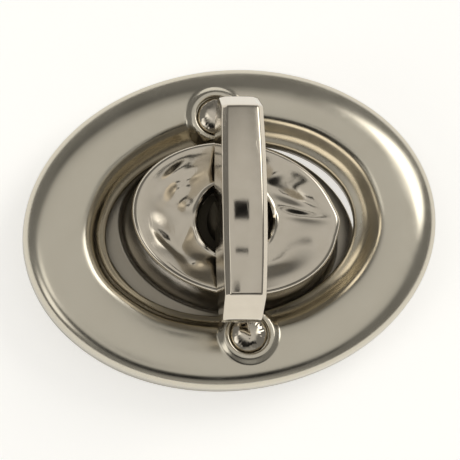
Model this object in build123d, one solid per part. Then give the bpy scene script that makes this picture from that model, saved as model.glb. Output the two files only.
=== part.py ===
from build123d import *
import math
import os

# Oval turn-lock clasp in two halves, about 35 mm long.
# The eyelet half is an oval ring with a slot; two studs and two screws hold it to its backing plate.
# The post half is an oval pedestal with a turning knob, screwed to its own backing plate.
# Origin: on the knob's axis, in the plane the clasp rests on. +X runs along the ring, +Z up to the knob.

# Driving dimensions, mm
ring_length = 34.6
ring_width = 27.0
slot_length = 20.8
slot_width = 14.6
plate_thickness = 0.6
flange_thickness = 0.8
ring_height = 3.2
knob_length = 18.4
knob_thickness = 3.6
knob_height = 7.3
pedestal_length = 17.0
pedestal_ratio = 0.747      # width over length, for every oval of the post half
flange_width = 2.3          # how far the flange stands out past the pedestal's rim
post_turn = -17.0           # how far the post half is turned from the ring, degrees
knob_turn = -7.5            # how far the knob is turned from straight across the ring, degrees
running_clearance = 0.06

# Heights of the stacked pieces
flange_bottom = plate_thickness
flange_top = flange_bottom + flange_thickness
ring_plate_bottom = flange_top + 0.05
ring_bottom = ring_plate_bottom + plate_thickness
ring_crest = ring_bottom + ring_height
lip_top = ring_bottom + 1.55
lip_bottom = ring_bottom + 0.95
pedestal_rim = 8.0
well_floor = 6.0
web_bottom = 5.0
knob_bottom = pedestal_rim + 0.8
knob_top = knob_bottom + knob_height

# Studs of the ring, on its short axis
stud_offset = 9.25
stud_head_r = 1.6
stud_seat_r = 1.74
stud_shank_r = 1.1
collar_r = 2.45
collar_top = ring_crest + 0.3
stud_seat_z = ring_crest - 0.55

# Fasteners
screw_r = 0.68
screw_bore_r = 0.70
screw_head_r = 1.2
screw_head_z = 0.05         # how far a countersunk head lies below its plate's face
driver_slot = 0.3

# Pivot of the knob
well_r = 3.1
hub_r = 2.2
shank_r = 1.5
shank_end = 4.45
pivot_screw_r = 0.78
pivot_head_r = 1.75
pivot_head_height = 0.9
washer_r = 2.1
washer_thickness = 0.35
wave_thickness = 0.2
wave_bow = 0.3
base_screw_offset = 5.9


def oval(half_length, half_width, z):
    """Flat ellipse at height z."""
    return Plane.XY.offset(z) * Ellipse(half_length, half_width)


def ring_oval(share, z):
    """Ellipse at height z, share of the way in from the ring's rim (0) to its slot (1)."""
    half_length = (ring_length + share * (slot_length - ring_length)) / 2
    half_width = (ring_width + share * (slot_width - ring_width)) / 2
    return oval(half_length, half_width, z)


def stack(sections):
    """Solid through a list of flat sections, from the lowest to the highest."""
    return loft(sections, ruled=True)


def disc(radius, bottom, top, x=0.0, y=0.0):
    """Upright round solid between two heights."""
    middle = (bottom + top) / 2
    return Pos(x, y, middle) * Cylinder(radius, top - bottom)


def taper(bottom_r, top_r, bottom, top, x=0.0, y=0.0):
    """Upright cone frustum between two heights."""
    middle = (bottom + top) / 2
    return Pos(x, y, middle) * Cone(bottom_r, top_r, top - bottom)


def oval_turned(profile):
    """Solid turned about Z from a closed profile of (radius, height), then narrowed along Y."""
    outline = Polyline(*[(r, 0, z) for r, z in profile], close=True)
    turned = revolve(make_face(outline), axis=Axis.Z)
    return scale(turned, by=(1, pedestal_ratio, 1))


def countersunk_screw(x, y, face_z, tip_z):
    """Small countersunk screw with its head at face_z, pointing up, with a driver slot."""
    head_z = face_z + screw_head_z
    neck_z = face_z + plate_thickness - 0.1
    screw = taper(screw_head_r, screw_r, head_z, neck_z, x, y)
    screw += disc(screw_r, neck_z, tip_z, x, y)
    slot = Pos(x, y, head_z) * Box(2 * screw_head_r, driver_slot, 0.4)
    return screw - slot


def countersink(x, y, face_z):
    """Hole for a countersunk screw through a plate whose lower face is at face_z."""
    through = disc(screw_r + 0.08, face_z - 1, face_z + 2, x, y)
    cone = taper(screw_head_r + 0.12, screw_r + 0.08, face_z - 0.001, face_z + plate_thickness - 0.05, x, y)
    return through + cone


def ring_plate():
    """Hollow oval ring: rolled rim tucked in at its foot, crest, slope down to the slot's lip, two stud collars."""
    rim_profile = [(0.045, 0.0), (0.0, 1.1), (0.0, 1.6), (0.013, 2.1), (0.048, 2.5), (0.12, 2.9), (0.21, 3.09),
                   (0.34, ring_height)]
    body = stack([ring_oval(share, ring_bottom + rise) for share, rise in rim_profile])

    slope = [(0.58, ring_crest + 0.03), (0.68, ring_crest - 0.15), (0.77, ring_crest - 0.5),
             (0.86, lip_top + 0.65), (0.94, lip_top + 0.18), (1.0, lip_top), (1.0, ring_bottom - 1)]
    funnel = stack([ring_oval(share, z) for share, z in reversed(slope)])

    cavity = stack([ring_oval(0.13, ring_bottom - 0.1), ring_oval(0.13, ring_bottom + 1.4),
                    ring_oval(0.19, ring_bottom + 1.95), ring_oval(0.30, ring_crest - 0.9)])
    inner_leg = stack([ring_oval(0.86, lip_bottom), ring_oval(0.86, lip_bottom + 0.3),
                       ring_oval(0.78, lip_bottom + 0.9), ring_oval(0.70, ring_crest - 0.8)])
    body = body - (cavity - inner_leg)

    slot_prism = extrude(oval(slot_length / 2, slot_width / 2, 0), amount=20)
    collars = Part()
    seats = Part()
    for side in (-1, 1):
        y = side * stud_offset
        boss = disc(collar_r, ring_bottom, collar_top - 0.3, 0, y)
        crown = taper(collar_r, collar_r - 0.25, collar_top - 0.3, collar_top, 0, y)
        collars += (boss + crown) - slot_prism
        seats += disc(stud_seat_r, stud_seat_z, collar_top + 1, 0, y)
        seats += disc(stud_shank_r + running_clearance, ring_bottom - 1, stud_seat_z + 0.1, 0, y)
    return (body - funnel) + collars - seats


def ring_stud(side):
    """Domed stud through a collar, with a threaded bore from below for the backing plate's screw."""
    y = side * stud_offset
    skirt_top = stud_seat_z + 0.45
    dome_height = 0.85
    sphere_r = (stud_head_r ** 2 + dome_height ** 2) / (2 * dome_height)
    dome = Pos(0, y, skirt_top + dome_height - sphere_r) * Sphere(sphere_r)
    dome = dome & disc(stud_head_r, skirt_top, skirt_top + 2, 0, y)
    stud = disc(stud_head_r, stud_seat_z, skirt_top, 0, y) + dome
    stud += disc(stud_shank_r, ring_bottom, stud_seat_z, 0, y)
    return stud - disc(screw_bore_r, ring_bottom - 1, stud_seat_z - 0.2, 0, y)


def ring_back_plate():
    """Flat oval backing plate of the ring half, with a slot just larger than the ring's."""
    inset = 1.1
    slot_margin = 0.25
    outer = oval(ring_length / 2 - inset, ring_width / 2 - inset, ring_plate_bottom)
    inner = oval(slot_length / 2 + slot_margin, slot_width / 2 + slot_margin, ring_plate_bottom)
    plate = extrude(outer - inner, amount=plate_thickness)
    for side in (-1, 1):
        plate -= countersink(0, side * stud_offset, ring_plate_bottom)
    return plate


def ring_screw(side):
    """Screw from below through the ring's backing plate into a stud."""
    return countersunk_screw(0, side * stud_offset, ring_plate_bottom, stud_seat_z - 0.5)


def post_base():
    """Hollow oval pedestal on a flange, with a dished top, a round well and the bore for the knob's shank."""
    rim_r = pedestal_length / 2
    flange_r = rim_r + flange_width
    foot_r = rim_r + 0.45
    shell = [(0, flange_bottom), (flange_r, flange_bottom), (flange_r, flange_top - 0.2), (flange_r - 0.2, flange_top),
             (foot_r + 0.4, flange_top), (foot_r + 0.12, flange_top + 0.15), (foot_r, flange_top + 0.5),
             (rim_r + 0.05, pedestal_rim - 0.4), (rim_r - 0.12, pedestal_rim - 0.08), (rim_r - 0.35, pedestal_rim)]
    dish_depth = 0.55
    dish_points = 5
    dish_start = rim_r - 0.5
    for step in range(1, dish_points + 1):
        share = step / dish_points
        radius = dish_start + share * (well_r - dish_start)
        shell.append((radius, pedestal_rim - dish_depth * math.sin(share * math.pi / 2)))
    shell.append((0, pedestal_rim - dish_depth))
    base = oval_turned(shell)
    base -= oval_turned([(0, 0), (rim_r - 0.6, 0), (rim_r - 0.6, flange_top), (rim_r - 1.2, web_bottom), (0, web_bottom)])
    for side in (-1, 1):
        base += disc(1.2, flange_bottom, web_bottom + 0.1, side * base_screw_offset, 0)
        base -= disc(screw_bore_r, 0, flange_bottom + 2.9, side * base_screw_offset, 0)
    base -= disc(well_r, well_floor, pedestal_rim + 1)
    base -= disc(shank_r + running_clearance, web_bottom - 1, well_floor + 1)
    return Rot(0, 0, post_turn) * base


def base_back_plate():
    """Flat oval backing plate of the post half, with a hole in the middle to reach the pivot screw."""
    half_length = pedestal_length / 2 + flange_width - 0.5
    plate = extrude(oval(half_length, half_length * pedestal_ratio, 0), amount=plate_thickness)
    plate = chamfer(plate.edges(), 0.12)
    plate -= disc(2.6, -1, plate_thickness + 1)
    for side in (-1, 1):
        plate -= countersink(side * base_screw_offset, 0, 0)
    return Rot(0, 0, post_turn) * plate


def base_screw(side):
    """Screw from below through the post's backing plate into a boss of the pedestal."""
    return Rot(0, 0, post_turn) * countersunk_screw(side * base_screw_offset, 0, 0, 3.2)


def knob():
    """Turning knob: a blade with an arched top on a round hub, and a shank that runs down through the web."""
    tip = knob_length / 2
    tip_z = knob_bottom + 3.5
    arris = tip - 1.45
    arris_z = knob_top - 0.7
    end = [(tip - 1.9, knob_bottom), (tip - 0.7, knob_bottom + 0.45), (tip - 0.1, knob_bottom + 1.5),
           (tip, tip_z), (arris, arris_z)]
    mirrored_end = [(-y, z) for y, z in reversed(end)]
    arch = ThreePointArc((0, arris, arris_z), (0, 0, knob_top), (0, -arris, arris_z))
    outline = arch + Polyline(*[(0, y, z) for y, z in mirrored_end + end])
    blade = extrude(make_face(outline), amount=knob_thickness, both=True)

    end_half = knob_thickness / 2 - 0.2
    plan = Polyline((end_half, -tip), (knob_thickness / 2, -tip / 3), (knob_thickness / 2, tip / 3), (end_half, tip),
                    (-end_half, tip), (-knob_thickness / 2, tip / 3), (-knob_thickness / 2, -tip / 3),
                    (-end_half, -tip), close=True)
    blade = blade & extrude(make_face(plan), amount=30)
    blade = chamfer(blade.edges().filter_by(GeomType.CIRCLE), 0.35)

    hub_gap = 0.05
    body = blade + disc(hub_r, well_floor + hub_gap, knob_bottom + 0.5)
    body += disc(shank_r, shank_end, well_floor + hub_gap + 0.1)
    body -= disc(pivot_screw_r + 0.02, shank_end - 1, shank_end + 3.6)
    return Rot(0, 0, knob_turn) * body


def retaining_washer():
    """Flat washer that the pivot screw clamps against the end of the knob's shank."""
    washer = disc(washer_r, shank_end - washer_thickness, shank_end)
    return washer - disc(pivot_screw_r + 0.05, shank_end - 1, shank_end + 1)


def pivot_screw():
    """Cheese-head screw up into the knob's shank; it holds the knob down through the two washers."""
    head_top = shank_end - washer_thickness
    head_bottom = head_top - pivot_head_height
    screw = disc(pivot_head_r, head_bottom, head_top)
    screw += disc(pivot_screw_r, head_top, shank_end + 3.4)
    slot = Pos(0, 0, head_bottom) * Box(4 * pivot_head_r, 0.45, 0.8)
    return Rot(0, 0, knob_turn) * (screw - slot)


def wave_washer():
    """Spring washer bowed about Y, between the web and the retaining washer; its push gives the knob its drag."""
    inner_r = shank_r + 0.2
    bend_r = washer_r ** 2 / (2 * wave_bow)
    top = web_bottom - 0.02
    across_y = Rot(90, 0, 0)
    centre_z = top - bend_r
    sheet = Pos(0, 0, centre_z) * across_y * (Cylinder(bend_r, 10) - Cylinder(bend_r - wave_thickness, 10))
    ring = disc(washer_r, top - 1, top + 1) - disc(inner_r, top - 1, top + 1)
    return Rot(0, 0, post_turn) * (sheet & ring)


parts = {
    "ring_plate": ring_plate(),
    "ring_stud_front": ring_stud(-1),
    "ring_stud_rear": ring_stud(1),
    "ring_back_plate": ring_back_plate(),
    "ring_screw_front": ring_screw(-1),
    "ring_screw_rear": ring_screw(1),
    "post_base": post_base(),
    "base_back_plate": base_back_plate(),
    "base_screw_left": base_screw(-1),
    "base_screw_right": base_screw(1),
    "knob": knob(),
    "retaining_washer": retaining_washer(),
    "pivot_screw": pivot_screw(),
    "wave_washer": wave_washer(),
}

os.makedirs("parts", exist_ok=True)
for name, part in parts.items():
    export_step(part, f"parts/{name}.step")
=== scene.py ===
import bpy
import math
import numpy as np
from mathutils import Matrix, Vector


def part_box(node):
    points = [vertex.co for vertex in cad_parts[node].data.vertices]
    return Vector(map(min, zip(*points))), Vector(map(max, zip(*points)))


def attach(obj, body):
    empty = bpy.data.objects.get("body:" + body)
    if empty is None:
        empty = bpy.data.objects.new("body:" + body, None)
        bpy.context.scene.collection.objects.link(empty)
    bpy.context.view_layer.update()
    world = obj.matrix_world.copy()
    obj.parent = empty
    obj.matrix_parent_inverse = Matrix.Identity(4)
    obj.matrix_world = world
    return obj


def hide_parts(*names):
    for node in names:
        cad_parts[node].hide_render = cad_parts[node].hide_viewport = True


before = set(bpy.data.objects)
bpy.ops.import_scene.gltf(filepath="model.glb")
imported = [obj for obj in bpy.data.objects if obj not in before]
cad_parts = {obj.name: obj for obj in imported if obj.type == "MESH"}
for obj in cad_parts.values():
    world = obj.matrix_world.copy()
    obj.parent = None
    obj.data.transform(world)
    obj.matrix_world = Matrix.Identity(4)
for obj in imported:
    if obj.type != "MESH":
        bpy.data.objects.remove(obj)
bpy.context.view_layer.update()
MM = 0.001

# --------------------------------------------------------------------------------------------------------
# Ring shell: the oval ring of the eyelet half, die-cast zinc, barrel-plated with nickel to a satin
# finish. Its rim rolls over to a crowned face, which slopes down to the slot's lip. Two raised collars
# seat the studs.
# --------------------------------------------------------------------------------------------------------
ring_low, ring_high = (np.array(corner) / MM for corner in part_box("ring_plate"))
RING_HALF = ring_high[:2]
RING_BASE_Z = ring_low[2]
SLOT_HALF = np.array([10.4, 7.3])
RING_RUN = SLOT_HALF - RING_HALF
COLLAR_TOP_Z = ring_high[2]
CREST_Z = COLLAR_TOP_Z - 0.3
LIP_UNDER_Z = RING_BASE_Z + 0.95
STUD_Y = 9.25
SEAT_R = 1.80
SEAT_WALL_R = 1.665
SEAT_FLOOR_Z = CREST_Z - 0.55
COLLAR_SHOULDER_R = 1.98
COLLAR_FOOT_R = 2.64
# Shares of the way in from the rim to the slot: where the crest is, and how far the rim's foot is tucked in
CREST_SHARE = 0.62
TUCK = 0.045
# Where the casting is uneven: the angles round the ring in degrees, and how far the skin moves there
ROLL_BROAD, ROLL_GAIN = 60.0, 0.8
SLOPE_NARROW, SLOPE_START, SLOPE_GAIN = 200.0, 0.45, 0.075
WAVES = [(0.010, 3, 1.0), (0.006, 7, 0.5), (0.004, 12, 0.0)]


def strip_path(start, heading, bends, step):
    """Path of a bent strip: it starts at a point with a heading in degrees and runs through bends, each a
    length and a turn in degrees. The heading changes evenly along each bend, and the path is the sum of
    its steps."""
    headings = []
    for length, turn in bends:
        count = max(2, int(round(length / step)))
        headings.append(heading + turn * (np.arange(count) + 0.5) / count)
        headings[-1] = np.stack([headings[-1], np.full(count, length / count)])
        heading += turn
    angle, stride = np.concatenate(headings, axis=1)
    moves = np.stack([np.cos(np.radians(angle)), np.sin(np.radians(angle))], axis=1) * stride[:, None]
    return np.concatenate([[start], start + np.cumsum(moves, axis=0)])


def ring_top_profile(step):
    """Section of the ring's upper skin as (share, height): share runs from 0 at the rim to 1 at the
    slot's edge. The strip goes up the wall, round the rim's roll, over the crown, down the slope and
    along the lip."""
    bends = [(0.50, 0), (1.02, -45), (1.40, -34), (2.50, -22), (0.90, -37), (0.70, 0), (0.80, 32),
             (0.30, 0), (0.40, -76)]
    path = strip_path(np.array([0.0, 1.0]), 90.0, bends, step)
    share = path[:, 0] / path[-1, 0]
    height = RING_BASE_Z + path[:, 1] * (CREST_Z - RING_BASE_Z) / path[:, 1].max()
    return np.stack([share, height], axis=1)


def roll_spread(share, angle):
    """Moves a share inward where the casting's roll is broader: most at ROLL_BROAD degrees round the ring
    and least opposite, by share * (1 - share / crest)^2 times a cosine. The slope to the slot is moved in
    towards the lip at SLOPE_NARROW degrees, by a squared sine of the share. WAVES, each a height, a count
    round the ring and a phase, add sines that are strongest half way in."""
    room = np.clip(1 - share / CREST_SHARE, 0, 1)
    broad = ROLL_GAIN * np.cos(angle - math.radians(ROLL_BROAD)) * share * room ** 2
    slope = np.sin(np.pi * np.clip((share - SLOPE_START) / (1 - SLOPE_START), 0, 1)) ** 2
    lean = 0.5 + 0.5 * np.cos(angle - math.radians(SLOPE_NARROW))
    waves = sum(height * np.sin(count * angle + phase) for height, count, phase in WAVES)
    return share + broad + SLOPE_GAIN * lean * slope + 4 * waves * share * (1 - share)


def smooth_fall(distance, near, far):
    """1 nearer than near, 0 beyond far, and a smooth cubic fall between."""
    part = np.clip((far - distance) / (far - near), 0, 1)
    return part * part * (3 - 2 * part)


def collar_blend(x, y, z):
    """Lifts the skin to the flat top of the nearer stud's collar, with a smooth foot round it."""
    distance = np.hypot(x, np.abs(y) - STUD_Y)
    weight = smooth_fall(distance, COLLAR_SHOULDER_R, COLLAR_FOOT_R)
    return z + weight * (COLLAR_TOP_Z - z)


def ring_share(x, y):
    """Share of the way in from rim to slot at a point of the plan: the root of (x/a)^2 + (y/b)^2 = 1,
    where both half-axes shrink in proportion to the share, found by Newton steps."""
    share = np.full_like(x, 0.6)
    for _ in range(12):
        a, b = (RING_HALF[i] + share * RING_RUN[i] for i in (0, 1))
        value = (x / a) ** 2 + (y / b) ** 2 - 1
        rate = -2 * (x ** 2 / a ** 3 * RING_RUN[0] + y ** 2 / b ** 3 * RING_RUN[1])
        share = share - value / rate
    return share


def grid_faces(rows, columns, wrap_rows=False, wrap_columns=True):
    """Four-sided faces of a grid of points numbered row by row."""
    row = np.arange(rows if wrap_rows else rows - 1)[:, None]
    column = np.arange(columns if wrap_columns else columns - 1)[None, :]
    next_row, next_column = (row + 1) % rows, (column + 1) % columns
    corners = [row * columns + column, row * columns + next_column,
               next_row * columns + next_column, next_row * columns + column]
    return np.stack([np.broadcast_to(c, (row.size, column.size)) for c in corners], axis=-1).reshape(-1, 4)


def piece_from(name, points, faces, body, material, caps=(), smooth_angle=32):
    """Makes a mesh object from points in millimetres and lists of faces, with normals outward and smooth
    shading except over edges sharper than smooth_angle degrees, and lets it ride on a body."""
    points = np.asarray(points, float)
    used = np.zeros(len(points), bool)
    used[np.asarray(faces).ravel()] = True
    for cap in caps:
        used[np.asarray(cap)] = True
    number = np.cumsum(used) - 1
    polygons = number[np.asarray(faces)].tolist() + [number[np.asarray(cap)].tolist() for cap in caps]
    mesh = bpy.data.meshes.new(name)
    mesh.from_pydata((points[used] * MM).tolist(), [], polygons)
    mesh.polygons.foreach_set("use_smooth", np.ones(len(mesh.polygons), bool))
    mesh.set_sharp_from_angle(angle=math.radians(smooth_angle))
    mesh.materials.append(material)
    piece = bpy.data.objects.new(name, mesh)
    bpy.context.scene.collection.objects.link(piece)
    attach(piece, body)
    return piece


def linear(hex_colour, alpha=1.0):
    """sRGB hex colour as linear red, green, blue and alpha."""
    srgb = np.array([int(hex_colour[i:i + 2], 16) for i in (1, 3, 5)]) / 255
    rgb = np.where(srgb <= 0.04045, srgb / 12.92, ((srgb + 0.055) / 1.055) ** 2.4)
    return (*rgb.tolist(), alpha)


def add_node(tree, kind, inputs=None, **settings):
    """Adds a node with its settings; inputs maps a socket to a value or to the output that feeds it."""
    node = tree.nodes.new(kind)
    for key, value in settings.items():
        setattr(node, key, value)
    for key, value in (inputs or {}).items():
        if isinstance(value, bpy.types.NodeSocket):
            tree.links.new(value, node.inputs[key])
        else:
            node.inputs[key].default_value = value
    return node


HAIRLINE_MM = 0.16
# Colour and roughness of the painted shade that plated_metal lays near the Z axis and below a height
PAINTED_SHADE_COLOUR = "#4A453B"
PAINTED_SHADE_ROUGHNESS = 0.55


def plated_metal(name, light, dark, roughness, cloud_mm, grain_mm, grain_depth_mm, scratch_depth_mm,
                 painted_shade=None):
    """Plated metal: colour and gloss drift slowly over clouds, with a fine grain and sparse hairline
    scratches. roughness is its lowest and highest value; the sizes are millimetres on the piece. The last
    argument places painted shade: the radius round the Z axis up to which the metal is painted dark and
    dull and the radius from which it is clear, and the height below which it is painted half dark and
    dull and the height from which it is clear."""
    material = bpy.data.materials.new(name)
    material.use_nodes = True
    tree = material.node_tree
    tree.nodes.clear()
    place = add_node(tree, "ShaderNodeTexCoord").outputs["Object"]
    cloud = add_node(tree, "ShaderNodeTexNoise",
                     {"Vector": place, "Scale": 1 / (cloud_mm * MM), "Detail": 4.0, "Roughness": 0.6})
    colour = add_node(tree, "ShaderNodeMix",
                      {"Factor": cloud.outputs["Fac"], "A": linear(dark), "B": linear(light)},
                      data_type="RGBA")
    gloss = add_node(tree, "ShaderNodeMapRange",
                     {"Value": cloud.outputs["Fac"], "From Min": 0.3, "From Max": 0.7,
                      "To Min": roughness[0], "To Max": roughness[1]})
    grain = add_node(tree, "ShaderNodeTexNoise",
                     {"Vector": place, "Scale": 1 / (grain_mm * MM), "Detail": 2.0, "Roughness": 0.7})
    turned = add_node(tree, "ShaderNodeMapping",
                      {"Vector": place, "Rotation": (0.3, 0.2, 0.9), "Scale": (1.0, 0.06, 1.0)})
    hairs = add_node(tree, "ShaderNodeTexNoise",
                     {"Vector": turned.outputs["Vector"], "Scale": 1 / (HAIRLINE_MM * MM), "Detail": 1.0})
    sparse = add_node(tree, "ShaderNodeMapRange",
                      {"Value": hairs.outputs["Fac"], "From Min": 0.66, "From Max": 0.74,
                       "To Min": 1.0, "To Max": 0.0})
    grain_bump = add_node(tree, "ShaderNodeBump",
                          {"Height": grain.outputs["Fac"], "Distance": grain_depth_mm * MM,
                           "Strength": 1.0})
    scratch_bump = add_node(tree, "ShaderNodeBump",
                            {"Height": sparse.outputs["Result"], "Distance": scratch_depth_mm * MM,
                             "Strength": 1.0, "Normal": grain_bump.outputs["Normal"]})
    colour, gloss = colour.outputs["Result"], gloss.outputs["Result"]
    # Painted shade: a dark, dull colour laid near the Z axis and below a height, standing in for the shade
    # in the well, on the flange and at the ring's rim foot
    if painted_shade:
        across = add_node(tree, "ShaderNodeVectorMath", {0: place, 1: (1, 1, 0)}, operation="MULTIPLY")
        radius = add_node(tree, "ShaderNodeVectorMath", {0: across.outputs["Vector"]}, operation="LENGTH")
        ragged = add_node(tree, "ShaderNodeMath",
                          {0: cloud.outputs["Fac"], 1: 1.2 * MM, 2: -0.6 * MM}, operation="MULTIPLY_ADD")
        edge = add_node(tree, "ShaderNodeMath", {0: radius.outputs["Value"], 1: ragged.outputs["Value"]})
        shade_mask = add_node(tree, "ShaderNodeMapRange",
                          {"Value": edge.outputs["Value"], "From Min": painted_shade[0] * MM,
                           "From Max": painted_shade[1] * MM, "To Min": 1.0, "To Max": 0.0},
                          interpolation_type="SMOOTHSTEP").outputs["Result"]
        upward = add_node(tree, "ShaderNodeSeparateXYZ", {"Vector": place}).outputs["Z"]
        low_shade = add_node(tree, "ShaderNodeMapRange",
                            {"Value": upward, "From Min": painted_shade[2] * MM, "From Max": painted_shade[3] * MM,
                             "To Min": 0.5, "To Max": 0.0}).outputs["Result"]
        shade_mask = add_node(tree, "ShaderNodeMath", {0: shade_mask, 1: low_shade},
                          operation="MAXIMUM").outputs["Value"]
        colour = add_node(tree, "ShaderNodeMix", {"Factor": shade_mask, "A": colour, "B": linear(PAINTED_SHADE_COLOUR)},
                          data_type="RGBA").outputs["Result"]
        gloss = add_node(tree, "ShaderNodeMix",
                         {"Factor": shade_mask, "A": gloss, "B": PAINTED_SHADE_ROUGHNESS}).outputs["Result"]
    shader = add_node(tree, "ShaderNodeBsdfPrincipled",
                      {"Base Color": colour, "Metallic": 1.0, "Roughness": gloss,
                       "Normal": scratch_bump.outputs["Normal"]})
    add_node(tree, "ShaderNodeOutputMaterial", {"Surface": shader.outputs["BSDF"]})
    return material


# Satin nickel plate over tumbled zinc: warm grey, soft reflections with blurred edges, a faint tumbled
# grain. Painted shade makes it darker and duller toward the rim's foot.
satin_nickel = plated_metal("satin_nickel_plate", "#D5CFC0", "#C9C2B2", (0.17, 0.26), 3.0, 0.12, 0.0010,
                            0.0008, (-1.0, 0.0, RING_BASE_Z + 1.1, RING_BASE_Z + 2.1))

COLUMNS = 640
turn = 2 * np.pi * np.arange(COLUMNS) / COLUMNS
top = ring_top_profile(0.115)
fine_top = ring_top_profile(0.01)
under_corners = np.array([(1.0, LIP_UNDER_Z + 0.12), (0.985, LIP_UNDER_Z), (0.86, LIP_UNDER_Z),
                          (0.86, LIP_UNDER_Z + 0.3), (0.78, LIP_UNDER_Z + 0.9), (0.70, CREST_Z - 0.8),
                          (0.30, CREST_Z - 0.9), (0.19, RING_BASE_Z + 1.95), (0.13, RING_BASE_Z + 1.4),
                          (0.13, RING_BASE_Z + 0.08), (0.12, RING_BASE_Z), (TUCK + 0.012, RING_BASE_Z)])
under = np.concatenate([np.linspace(start, end, 3)[:-1]
                        for start, end in zip(under_corners[:-1], under_corners[1:])] + [under_corners[-1:]])
top = np.concatenate([[(TUCK, RING_BASE_Z + 0.08), (TUCK * 0.4, RING_BASE_Z + 0.55)], top])
section = np.concatenate([top, under])
spread = np.repeat(section[:, :1], COLUMNS, axis=1)
spread[:len(top)] = roll_spread(spread[:len(top)], turn)
ring_x = (RING_HALF[0] + spread * RING_RUN[0]) * np.cos(turn)
ring_y = (RING_HALF[1] + spread * RING_RUN[1]) * np.sin(turn)
ring_z = np.repeat(section[:, 1:], COLUMNS, axis=1)
ring_z[:len(top)] = collar_blend(ring_x[:len(top)], ring_y[:len(top)], ring_z[:len(top)])
ring_points = np.stack([ring_x, ring_y, ring_z], axis=-1).reshape(-1, 3)
ring_faces = grid_faces(len(section), COLUMNS, wrap_rows=True)


# The window in the skin round a stud: its outer and inner share, half its columns, the rings that fill it
WINDOW_SHARES = (0.30, 0.982)
WINDOW_HALF_COLUMNS = 24
PATCH_RINGS = 14


def seat_patch(side, first_row, last_row, half_columns, first_point):
    """Cuts a window in the ring's grid round one stud and fills it with rings of points: they pass from
    the window's edge to the seat's round edge in even steps, at the skin's height, then go down the
    seat's wall."""
    middle = int(round(COLUMNS * (0.25 if side > 0 else 0.75)))
    left, right = middle - half_columns, middle + half_columns
    rows, columns = np.arange(first_row, last_row), np.arange(left, right)
    edge = np.concatenate([np.stack([np.full(columns.size, first_row), columns], 1),
                           np.stack([rows, np.full(rows.size, right)], 1),
                           np.stack([np.full(columns.size, last_row), columns[::-1] + 1], 1),
                           np.stack([rows[::-1] + 1, np.full(rows.size, left)], 1)])
    loop = edge[:, 0] * COLUMNS + edge[:, 1]
    centre = np.array([0.0, side * STUD_Y])
    start = ring_points[loop, :2]
    away = start - centre
    circle = centre + SEAT_R * away / np.linalg.norm(away, axis=1, keepdims=True)
    steps = (np.arange(1, PATCH_RINGS + 1) / PATCH_RINGS)[:, None, None]
    plan = start + steps * (circle - start)
    spread_share = ring_share(plan[..., 0], plan[..., 1])
    half_axes = [RING_HALF[i] + spread_share * RING_RUN[i] for i in (0, 1)]
    angle = np.arctan2(plan[..., 1] / half_axes[1], plan[..., 0] / half_axes[0])
    share = spread_share
    for _ in range(20):
        share = share + spread_share - roll_spread(share, angle)
    height = np.interp(share, fine_top[:, 0], fine_top[:, 1])
    skin = np.concatenate([plan, collar_blend(plan[..., 0], plan[..., 1], height)[..., None]], axis=-1)
    unit = (circle - centre) / SEAT_R
    bevel = np.radians(np.linspace(20, 90, 5))
    lip_r = SEAT_R - (SEAT_R - SEAT_WALL_R) * np.sin(bevel)
    lip_drop = (SEAT_R - SEAT_WALL_R) * (1 - np.cos(bevel))
    wall = np.concatenate([np.stack([lip_r, COLLAR_TOP_Z - lip_drop], 1),
                           [(SEAT_WALL_R, SEAT_FLOOR_Z + 0.2), (SEAT_WALL_R, SEAT_FLOOR_Z),
                            (0.5, SEAT_FLOOR_Z)]])
    wall_height = np.broadcast_to(wall[:, None, 1:], (len(wall), len(loop), 1))
    down = np.concatenate([centre + wall[:, None, :1] * unit, wall_height], axis=-1)
    points = np.concatenate([skin, down]).reshape(-1, 3)
    inner = first_point + grid_faces(len(skin) + len(down), len(loop))
    first_ring = first_point + np.arange(len(loop))
    joined = np.stack([loop, np.roll(loop, -1), np.roll(first_ring, -1), first_ring], axis=1)
    floor = first_point + len(points) - len(loop) + np.arange(len(loop))
    cut = (rows[:, None] * COLUMNS + columns[None, :]).ravel()
    return points, np.concatenate([joined, inner]), floor, cut


window = [int(np.argmin(abs(top[:-3, 0] - share))) for share in WINDOW_SHARES]
patch_caps = []
removed = []
for side in (1, -1):
    points, faces, floor, cut = seat_patch(side, *window, WINDOW_HALF_COLUMNS, len(ring_points))
    ring_points = np.concatenate([ring_points, points])
    ring_faces = np.concatenate([ring_faces, faces])
    patch_caps.append(floor)
    removed.append(cut)
keep = np.ones(len(ring_faces), bool)
keep[np.concatenate(removed)] = False
ring_shell = piece_from("ring_shell", ring_points, ring_faces[keep], "ring_half", satin_nickel, patch_caps)
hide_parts("ring_plate")

# --------------------------------------------------------------------------------------------------------
# Stud heads: two domed heads that sit in the collars with a narrow groove round them, bright nickel
# plate. Each is turned on its shank; the plating has built up a rough edge where head and collar nearly
# touch.
# --------------------------------------------------------------------------------------------------------
HEAD_R = 1.6
SHANK_R = 1.1
BURR_START = 0.45
BRIGHT = ("#DAD2C4", "#C9C0B0")
# Bright nickel plate: nearly a mirror, a little warm, with edges of reflections just softened.
bright_nickel = plated_metal("bright_nickel_plate", *BRIGHT, (0.08, 0.15), 1.6, 0.20, 0.0012, 0.0008)


def plating_burr(radius, height, angle):
    """Lumps of heavy plating round a head's edge: sums of sine waves in the angle, strongest at the full
    radius and on one side, which move the skin in and up and down by a few hundredths of a millimetre."""
    edge = np.clip((radius / HEAD_R - BURR_START) / (1 - BURR_START), 0, 1)
    edge = edge * (0.6 + 0.4 * np.cos(angle - 0.3))
    lumps = np.sin(9 * angle + 5 * radius) + 0.8 * np.sin(17 * angle - 9 * radius)
    lumps = lumps + 0.6 * np.sin(29 * angle + 2)
    dents = np.sin(3.1 * radius * np.cos(angle) + 1) * np.sin(2.7 * radius * np.sin(angle))
    return radius - 0.014 * edge * (2.4 + lumps), height + 0.034 * edge * lumps - 0.04 - 0.04 * dents


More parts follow.
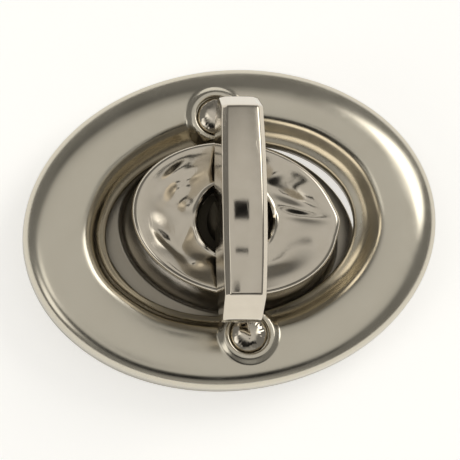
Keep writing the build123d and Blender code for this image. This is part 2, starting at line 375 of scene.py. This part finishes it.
def turned_points(profile, centre, columns, relief=None):
    """Points of a profile of (radius, height) turned round an upright axis through centre, moved by the
    relief."""
    angle = 2 * np.pi * np.arange(columns) / columns
    radius, height = np.broadcast_arrays(profile[:, :1], profile[:, 1:], angle[None, :])[:2]
    if relief:
        radius, height = relief(radius, height, angle)
    return np.stack([centre[0] + radius * np.cos(angle), centre[1] + radius * np.sin(angle), height], -1)


def turned_piece(name, profile, centre, columns, body, material, relief=None):
    """Closed turned piece, from its lowest ring of points to its highest, with a cap over each end."""
    points = turned_points(profile, centre, columns, relief).reshape(-1, 3)
    last = len(points) - columns
    caps = (np.arange(columns)[::-1], last + np.arange(columns))
    return piece_from(name, points, grid_faces(len(profile), columns), body, material, caps)


STUDS = [("stud_head_front", "ring_stud_front", -1), ("stud_head_rear", "ring_stud_rear", 1)]
for name, node, side in STUDS:
    head_low, head_high = (np.array(corner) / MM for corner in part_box(node))
    dome_foot_z = SEAT_FLOOR_Z + 0.45
    dome_top_z = head_high[2]
    arc = np.radians(np.linspace(0, 88, 28))
    dome = np.stack([HEAD_R * np.cos(arc), dome_foot_z + (dome_top_z - dome_foot_z) * np.sin(arc)], axis=1)
    shank = np.array([(SHANK_R, head_low[2]), (SHANK_R, SEAT_FLOOR_Z + 0.02),
                      (HEAD_R - 0.05, SEAT_FLOOR_Z + 0.02), (HEAD_R, SEAT_FLOOR_Z + 0.07)])
    stud = turned_piece(name, np.concatenate([shank, dome]), (0.0, side * STUD_Y), 192, "ring_half",
                        bright_nickel, plating_burr)
    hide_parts(node)

# --------------------------------------------------------------------------------------------------------
# Pedestal: the post half's oval boss on its flange, zinc cast and plated bright, so its dished top is a
# little wavy. It stands through the ring's slot. A round well in the middle takes the knob's hub.
# --------------------------------------------------------------------------------------------------------
POST_TURN = -17.0
OVAL = 0.747
RIM_R = 8.5
FLANGE_R = RIM_R + 2.3
WALL_R = RIM_R + 0.42
post_low, post_high = (np.array(corner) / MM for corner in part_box("post_base"))
FLANGE_Z = post_low[2] + 0.8
RIM_Z = post_high[2]
WELL_R = 3.1
WELL_FLOOR_Z = 6.0
WEB_Z = 5.0
BORE_R = 1.56
DISH_DEPTH = 0.55


def turned_about_z(points, degrees):
    """Turns points about Z by an angle, with the usual two by two rotation of x and y."""
    cosine, sine = math.cos(math.radians(degrees)), math.sin(math.radians(degrees))
    return points @ np.array([[cosine, sine, 0], [-sine, cosine, 0], [0, 0, 1]])


# Bright nickel over an unpolished casting: glossy and a little wavy. Painted shade makes it dark and
# dull in the well and on the flange.
cast_nickel = plated_metal("cast_nickel_plate", *BRIGHT, (0.10, 0.17), 1.4, 0.22, 0.0018, 0.0010,
                           (2.9, 3.35, FLANGE_Z + 0.05, FLANGE_Z + 1.2))
rim_arc = np.radians(np.linspace(0, 80, 9))
wall_rows = np.concatenate([
    [(FLANGE_R - 0.08, post_low[2]), (FLANGE_R, post_low[2] + 0.08), (FLANGE_R, FLANGE_Z - 0.2)],
    np.stack([FLANGE_R - 0.2 + 0.2 * np.cos(rim_arc), FLANGE_Z - 0.2 + 0.2 * np.sin(rim_arc)], axis=1),
    np.stack([WALL_R + 0.45 - 0.45 * np.sin(rim_arc), FLANGE_Z + 0.45 - 0.45 * np.cos(rim_arc)], axis=1),
    np.linspace((WALL_R, FLANGE_Z + 0.5), (RIM_R + 0.02, RIM_Z - 0.55), 14),
    np.stack([RIM_R - 0.48 + 0.50 * np.cos(rim_arc), RIM_Z - 0.50 + 0.50 * np.sin(rim_arc)], axis=1)])
wall_rows = np.stack([wall_rows[:, 0], wall_rows[:, 0] * OVAL, wall_rows[:, 1]], axis=1)
way = np.linspace(0.03, 1, 60)[:, None]
dish_rows = np.concatenate([(1 - way) * (RIM_R - 0.5) + way * (WELL_R + 0.05),
                            (1 - way) * (RIM_R - 0.5) * OVAL + way * (WELL_R + 0.05),
                            RIM_Z - DISH_DEPTH * np.sin(way * np.pi / 2) ** 1.5], axis=1)
dish_foot_z = RIM_Z - DISH_DEPTH
well_rows = np.array([(WELL_R + 0.01, dish_foot_z - 0.03), (WELL_R - 0.02, dish_foot_z - 0.12),
                      (WELL_R - 0.04, WELL_FLOOR_Z + 0.1), (WELL_R - 0.14, WELL_FLOOR_Z),
                      (BORE_R, WELL_FLOOR_Z), (BORE_R, WEB_Z)])
well_rows = well_rows[:, [0, 0, 1]]
hollow_rows = np.array([(RIM_R - 1.2, WEB_Z), (RIM_R - 0.6, FLANGE_Z), (RIM_R - 0.6, post_low[2])])
hollow_rows = np.stack([hollow_rows[:, 0], hollow_rows[:, 0] * OVAL, hollow_rows[:, 1]], axis=1)
post_rows = np.concatenate([wall_rows, dish_rows, well_rows, hollow_rows])
POST_COLUMNS = 320
post_angle = 2 * np.pi * np.arange(POST_COLUMNS) / POST_COLUMNS
post_points = np.stack([post_rows[:, :1] * np.cos(post_angle), post_rows[:, 1:2] * np.sin(post_angle),
                        np.repeat(post_rows[:, 2:], POST_COLUMNS, axis=1)], axis=-1)
# The casting draws out to a soft point at one end of the rim
lift = np.clip((post_points[..., 2:] - FLANGE_Z) / (RIM_Z - FLANGE_Z), 0, 1) ** 2
reach = np.clip(np.hypot(post_points[..., :1], post_points[..., 1:2] / OVAL) / RIM_R, 0, 1) ** 4
post_points[..., :2] *= 1 + 0.03 * lift * reach * np.exp(-((post_angle - 0.21) / 0.16) ** 2)[None, :, None]
first_dish, last_dish = len(wall_rows), len(wall_rows) + len(dish_rows)
dish = post_points[first_dish:last_dish]
dish_fade = np.sin(np.pi * np.clip(way, 0, 1)) ** 0.5
ripple = (0.016 * np.sin(1.3 * dish[..., 0] + 1.2 * np.sin(1.1 * dish[..., 1]))
          + 0.014 * np.sin(2.1 * dish[..., 1] - 0.8 * dish[..., 0] + 0.7))
# Sinks and flow marks of the casting: each one's place, half-length and half-width, turn and height
MARKS = [((4.3, 2.5), 1.7, 0.36, -18, -0.075), ((5.2, 1.15), 2.0, 0.28, 1, -0.060),
         ((4.9, 1.8), 1.8, 0.30, -8, 0.045), ((-5.1, 1.7), 0.7, 0.42, 65, -0.085),
         ((-4.3, 2.7), 1.0, 0.30, 35, 0.050), ((-5.6, 3.0), 0.9, 0.25, 50, -0.045),
         ((-3.9, 0.3), 0.5, 0.40, 0, -0.060), ((-3.7, -1.9), 0.8, 0.35, 70, 0.060),
         ((-2.4, -4.0), 0.6, 0.35, 20, 0.070), ((-4.9, -3.1), 1.5, 0.25, -35, -0.035),
         ((3.8, -3.3), 1.8, 0.50, 15, -0.050), ((2.6, 4.2), 0.8, 0.40, 40, 0.040)]
MARK_GAIN = 2.0
DISH_SINK = 0.05
for (mark_x, mark_y), half_length, half_width, heading, height in MARKS:
    away_x, away_y = dish[..., 0] - mark_x, dish[..., 1] - mark_y
    cosine, sine = math.cos(math.radians(heading)), math.sin(math.radians(heading))
    along_mark, across_mark = away_x * cosine + away_y * sine, away_y * cosine - away_x * sine
    away = (along_mark / half_length) ** 2 + (across_mark / half_width) ** 2
    ripple = ripple + height * np.exp(-0.5 * away)
# A raised, uneven bead of plating stands round the well's edge
burr_r = np.hypot(dish[..., 0], dish[..., 1])
burr = (0.10 + 0.04 * np.sin(5 * post_angle + 1) + 0.03 * np.sin(13 * post_angle)) * np.exp(
    -((burr_r - WELL_R - 0.22) / 0.14) ** 2)
dish[..., 2] += dish_fade * (MARK_GAIN * ripple - DISH_SINK) + burr
pedestal = piece_from("pedestal", turned_about_z(post_points.reshape(-1, 3), POST_TURN),
                      grid_faces(len(post_rows), POST_COLUMNS, wrap_rows=True), "post_half", cast_nickel)
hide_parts("post_base")

# --------------------------------------------------------------------------------------------------------
# Turn blade: the knob, a bright-plated zinc casting that two fingers turn. Its top is arched and bevelled
# along both edges, and steep facets close its ends. A round hub carries it on the pedestal's web.
# --------------------------------------------------------------------------------------------------------
KNOB_TURN = -7.5
knob_low, knob_high = (np.array(corner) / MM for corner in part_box("knob"))
BLADE_TIP = 9.2
BLADE_TOP_Z = knob_high[2]
BLADE_BOTTOM_Z = RIM_Z + 0.8
BLADE_HALF = 1.8
ARCH_RISE = 0.7
ARRIS = BLADE_TIP - 1.45
ARRIS_Z = BLADE_TOP_Z - ARCH_RISE
CURL = 1.9
END_ROUND = 0.12
TIP_Z = BLADE_BOTTOM_Z + 3.5
# The crown across the blade's top: its slope toward the edges and the radius of its middle
CROWN_SLOPE = math.tan(math.radians(13))
CROWN_R = 1.5
# Bevel along the blade's top as (inward, upward), from the side face to the top
EDGE = strip_path(np.array([0.0, 0.0]), 90.0, [(0.12, -50), (0.38, 0), (0.16, -36)], 0.03)
HUB_R = 2.2
KNOB_SHANK_R = 1.5


def blade_top(along):
    """Height of the blade's top: an arc between the arrises and a straight steep facet beyond, joined
    softly by the logarithm of a sum of exponentials."""
    out = np.abs(along)
    arch_r = (ARRIS ** 2 + ARCH_RISE ** 2) / (2 * ARCH_RISE)
    arch = BLADE_TOP_Z - arch_r + np.sqrt(arch_r ** 2 - out ** 2)
    facet = TIP_Z + (BLADE_TIP - out) * (ARRIS_Z - TIP_Z) / (BLADE_TIP - ARRIS)
    softness = 0.10
    return -softness * np.logaddexp(-arch / softness, -facet / softness)


def blade_bottom(along):
    """Height of the blade's underside: level, then curling up to the tip as the corner of a rounded
    square."""
    curl = np.clip((np.abs(along) - (BLADE_TIP - CURL)) / CURL, 0, 1)
    return BLADE_BOTTOM_Z + (TIP_Z - BLADE_BOTTOM_Z) * (1 - (1 - curl ** 3) ** (1 / 3))


def blade_half_width(along):
    """Half of the blade's thickness: widest in the middle and about a tenth less at the tips."""
    return BLADE_HALF * (1 - 0.12 * (np.abs(along) / BLADE_TIP) ** 2.2)


def blade_section(along, inset):
    """Closed section across the blade at each station: flat sides, the bevel EDGE along the top, small
    rounds below, and a crown across it all that falls by a hyperbola of radius CROWN_R towards the slope
    CROWN_SLOPE. inset pulls the whole section in, to round the end faces."""
    half = (blade_half_width(along) - inset)[:, None]
    high = (blade_top(along) - inset)[:, None]
    low = (blade_bottom(along) + inset)[:, None]
    shrink = np.minimum(1, (high - low) * 0.3 / EDGE[-1, 1])
    foot = np.minimum(0.25, (high - low) * 0.25)
    bend = np.linspace(0, np.pi / 2, 9)
    across_top = np.linspace(0.97, 0, 14)[None, :]
    up_side = np.linspace(0.08, 0.94, 9)[None, :]
    right = np.concatenate([half - foot * (1 - np.sin(bend)), half + 0 * up_side,
                            half - shrink * EDGE[:, 0],
                            (half - shrink * EDGE[-1, 0]) * across_top], axis=1)
    rise = np.concatenate([low + foot * (1 - np.cos(bend)),
                           low + foot + (high - shrink * EDGE[-1, 1] - low - foot) * up_side,
                           high + shrink * (EDGE[:, 1] - EDGE[-1, 1]), high + 0 * across_top], axis=1)
    rise = rise - CROWN_SLOPE * (np.hypot(right, CROWN_R) - CROWN_R)
    across = np.concatenate([right, -right[:, -2::-1]], axis=1)
    upright = np.concatenate([rise, rise[:, -2::-1]], axis=1)
    return across, upright


END_START = BLADE_TIP - END_ROUND - 0.02
end_bend = np.radians(np.linspace(15, 90, 5))
half_stations = np.concatenate([
    np.linspace(0, ARRIS - 0.6, 34), np.linspace(ARRIS - 0.5, ARRIS + 0.5, 21),
    np.linspace(ARRIS + 0.6, END_START, 12), END_START + END_ROUND * np.sin(end_bend)])
half_inset = np.concatenate([np.zeros(len(half_stations) - len(end_bend)),
                             END_ROUND * (1 - np.cos(end_bend))])
stations = np.concatenate([-half_stations[:0:-1], half_stations])
insets = np.concatenate([half_inset[:0:-1], half_inset])
across, upright = blade_section(stations, insets)
blade_points = np.stack([across, np.repeat(stations[:, None], across.shape[1], axis=1), upright], axis=-1)
count = across.shape[1]
blade_caps = (np.arange(count)[::-1], (len(stations) - 1) * count + np.arange(count))


# The same plate polished by fingers: it mirrors a little more sharply, and its colour is a little uneven.
worn_nickel = plated_metal("worn_nickel_plate", *BRIGHT, (0.07, 0.13), 1.8, 0.16, 0.0010, 0.0012)
turn_blade = piece_from("turn_blade", turned_about_z(blade_points.reshape(-1, 3), KNOB_TURN),
                        grid_faces(len(stations), count), "turning_knob", worn_nickel, blade_caps)
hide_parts("knob")

hub_round = np.radians(np.linspace(0, 90, 7))
hub_foot_z = WELL_FLOOR_Z + 0.05
hub_shoulder = np.stack([HUB_R - 0.5 * (1 - np.cos(hub_round)),
                         BLADE_BOTTOM_Z - 0.5 + 0.9 * np.sin(hub_round)], axis=1)
hub_profile = np.concatenate([
    [(KNOB_SHANK_R - 0.08, knob_low[2]), (KNOB_SHANK_R, knob_low[2] + 0.08), (KNOB_SHANK_R, hub_foot_z),
     (HUB_R - 0.1, hub_foot_z), (HUB_R, WELL_FLOOR_Z + 0.15), (HUB_R, BLADE_BOTTOM_Z - 0.5)], hub_shoulder])
knob_hub = turned_piece("knob_hub", hub_profile, (0.0, 0.0), 96, "turning_knob", cast_nickel)
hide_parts("knob")

# --------------------------------------------------------------------------------------------------------
# Backing plates, screws and washers: stamped and turned steel behind and inside the clasp. They keep
# their CAD shapes. The plates and screws are dull barrel-plated nickel, the bowed washer is bare spring
# steel.
# --------------------------------------------------------------------------------------------------------
# Dull barrel-plated nickel over stamped steel: grey and matt, with blurred reflections. Bare spring
# steel: darker.
dull_nickel = plated_metal("dull_nickel_plate", "#BDB8AE", "#A49F95", (0.30, 0.42), 2.0, 0.10, 0.0020,
                           0.0015)
spring_steel = plated_metal("spring_steel", "#8E8B88", "#6F6C6A", (0.25, 0.38), 1.2, 0.10, 0.0015,
                            0.0010)
for name in ("ring_back_plate", "ring_screw_front", "ring_screw_rear", "base_back_plate", "base_screw_left",
             "base_screw_right", "retaining_washer", "pivot_screw", "wave_washer"):
    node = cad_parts[name]
    node.data.materials.clear()
    node.data.materials.append(spring_steel if name == "wave_washer" else dull_nickel)

# --------------------------------------------------------------------------------------------------------
# Stage: a pale table, a dim room with a pale ceiling, soft glows to the right and the left, and the
# camera almost straight above, leaning a little to the front left. A dark card stands for the camera's
# body.
# --------------------------------------------------------------------------------------------------------
# The view: how far it is rolled in degrees, how far the camera leans to its left and down as parts of its
# distance, that distance in metres, and the metres that the view spans across the aim
VIEW_ROLL = 8.5
LEAN = (0.095, 0.20)
DISTANCE = 0.290
VIEW_WIDTH = 0.115 / 3
AIM_Z = 2.6 * MM
roll = math.radians(-VIEW_ROLL)
view_right = Vector((math.cos(roll), math.sin(roll), 0))
view_up = Vector((-math.sin(roll), math.cos(roll), 0))
upright_part = math.sqrt(1 - LEAN[0] ** 2 - LEAN[1] ** 2)
toward = -LEAN[0] * view_right - LEAN[1] * view_up + upright_part * Vector((0, 0, 1))
camera_x = view_up.cross(toward).normalized()
camera_y = toward.cross(camera_x)
aim = Vector((0, 0, AIM_Z)) + 0.06 * MM * camera_x + 0.08 * MM * camera_y
camera_data = bpy.data.cameras.new("camera")
camera_data.sensor_width = 36
camera_data.lens = DISTANCE / VIEW_WIDTH * camera_data.sensor_width
camera_data.clip_start = 0.01
camera = bpy.data.objects.new("camera", camera_data)
bpy.context.scene.collection.objects.link(camera)
camera.matrix_world = Matrix.Translation(aim + DISTANCE * toward) @ Matrix(
    (camera_x, camera_y, toward)).transposed().to_4x4()
bpy.context.scene.camera = camera


def card(name, centre, facing, width, height, colour, glow):
    """Flat stage card at a point, square to a direction, with a plain matt colour and its own glow."""
    side = facing.cross(view_up).normalized()
    up = side.cross(facing).normalized()
    corners = [centre + side * sx * width / 2 + up * sy * height / 2
               for sx, sy in ((-1, -1), (1, -1), (1, 1), (-1, 1))]
    mesh = bpy.data.meshes.new(name)
    mesh.from_pydata(corners, [], [(0, 1, 2, 3)])
    material = bpy.data.materials.new(name)
    material.use_nodes = True
    tree = material.node_tree
    tree.nodes.clear()
    shader = add_node(tree, "ShaderNodeBsdfPrincipled",
                      {"Base Color": linear(colour), "Roughness": 0.9, "Specular IOR Level": 0.2,
                       "Emission Color": linear(colour), "Emission Strength": glow})
    add_node(tree, "ShaderNodeOutputMaterial", {"Surface": shader.outputs["BSDF"]})
    mesh.materials.append(material)
    made = bpy.data.objects.new(name, mesh)
    bpy.context.scene.collection.objects.link(made)
    return made


card("table", Vector((0, 0, -0.02 * MM)), Vector((0, 0, 1)), 2.0, 2.0, "#F4F3F0", 0.62)
camera_body = card("camera_body", aim + (DISTANCE + 0.004) * toward, toward, 0.028, 0.028, "#0A0A0A", 0.0)
camera_body.visible_camera = False

# Two small dark flags hang over the blade: each is placed by the spot on the blade that mirrors it (right
# and up from the knob's axis, mm), the way from there, and its width and height in mm. The camera doesn't
# see them.
FLAG_DISTANCE = 12 * MM
FLAGS = [("camera_flag", (-0.33, -0.95), (0.02, 0.156), 5.0, 2.4),
         ("arm_flag", (-0.33, -4.3), (0.02, 0.0), 4.4, 0.6)]
for name, spot, way, width, height in FLAGS:
    way = (way[0] * view_right + way[1] * view_up + Vector((0, 0, 1))).normalized()
    foot = MM * (spot[0] * view_right + spot[1] * view_up) + Vector((0, 0, BLADE_TOP_Z * MM))
    centre = foot + FLAG_DISTANCE * way
    flag = card(name, centre, -way, width * MM, height * MM, "#050505", 0.0)
    flag.visible_camera = False

world = bpy.data.worlds.new("studio")
bpy.context.scene.world = world
world.use_nodes = True
sky = world.node_tree
sky.nodes.clear()
direction = add_node(sky, "ShaderNodeTexCoord").outputs["Generated"]
light = None
# Each glow: its azimuth in the view and its angle from straight up, the angles where it starts and ends
# to fade, and its strength. The dark ones stand for what is in front of the table.
ROOM_LIGHT = 0.21
LEAST_LIGHT = 0.01
GLOWS = [((0, 0), 16, 46, 0.44), ((36, 51), 12, 21, 2.6), ((205, 55), 8, 19, 1.2),
         ((182, 28), 3, 11, 0.8), ((275, 82), 12, 34, 0.16), ((110, 45), 8, 26, -0.06),
         ((214, 38), 4, 14, -0.3), ((236, 37), 5, 16, -0.34), ((260, 37), 5, 16, -0.34),
         ((284, 37), 5, 16, -0.34), ((306, 37), 4, 14, -0.26)]
for (azimuth, tilt), inner, outer, strength in GLOWS:
    azimuth, tilt = math.radians(azimuth), math.radians(tilt)
    aim_at = (math.cos(azimuth) * math.sin(tilt) * view_right + math.sin(azimuth) * math.sin(tilt) * view_up
              + Vector((0, 0, math.cos(tilt))))
    closeness = add_node(sky, "ShaderNodeVectorMath", {0: direction, 1: aim_at}, operation="DOT_PRODUCT")
    glow = add_node(sky, "ShaderNodeMapRange",
                    {"Value": closeness.outputs["Value"], "From Min": math.cos(math.radians(outer)),
                     "From Max": math.cos(math.radians(inner)), "To Min": 0.0, "To Max": strength},
                    interpolation_type="SMOOTHSTEP").outputs["Result"]
    light = glow if light is None else add_node(sky, "ShaderNodeMath", {0: light, 1: glow}).outputs["Value"]
strength = add_node(sky, "ShaderNodeMath", {0: light, 1: ROOM_LIGHT}).outputs["Value"]
strength = add_node(sky, "ShaderNodeMath", {0: strength, 1: LEAST_LIGHT},
                    operation="MAXIMUM").outputs["Value"]
room = add_node(sky, "ShaderNodeBackground", {"Color": linear("#FFFDF8"), "Strength": strength})
pale = add_node(sky, "ShaderNodeBackground", {"Color": linear("#F4F3F0"), "Strength": 1.0})
looked_at = add_node(sky, "ShaderNodeLightPath").outputs["Is Camera Ray"]
backdrop = add_node(sky, "ShaderNodeMixShader", {0: looked_at, 1: room.outputs["Background"],
                                                 2: pale.outputs["Background"]})
add_node(sky, "ShaderNodeOutputWorld", {"Surface": backdrop.outputs["Shader"]})
bpy.context.scene.view_settings.view_transform = "Standard"
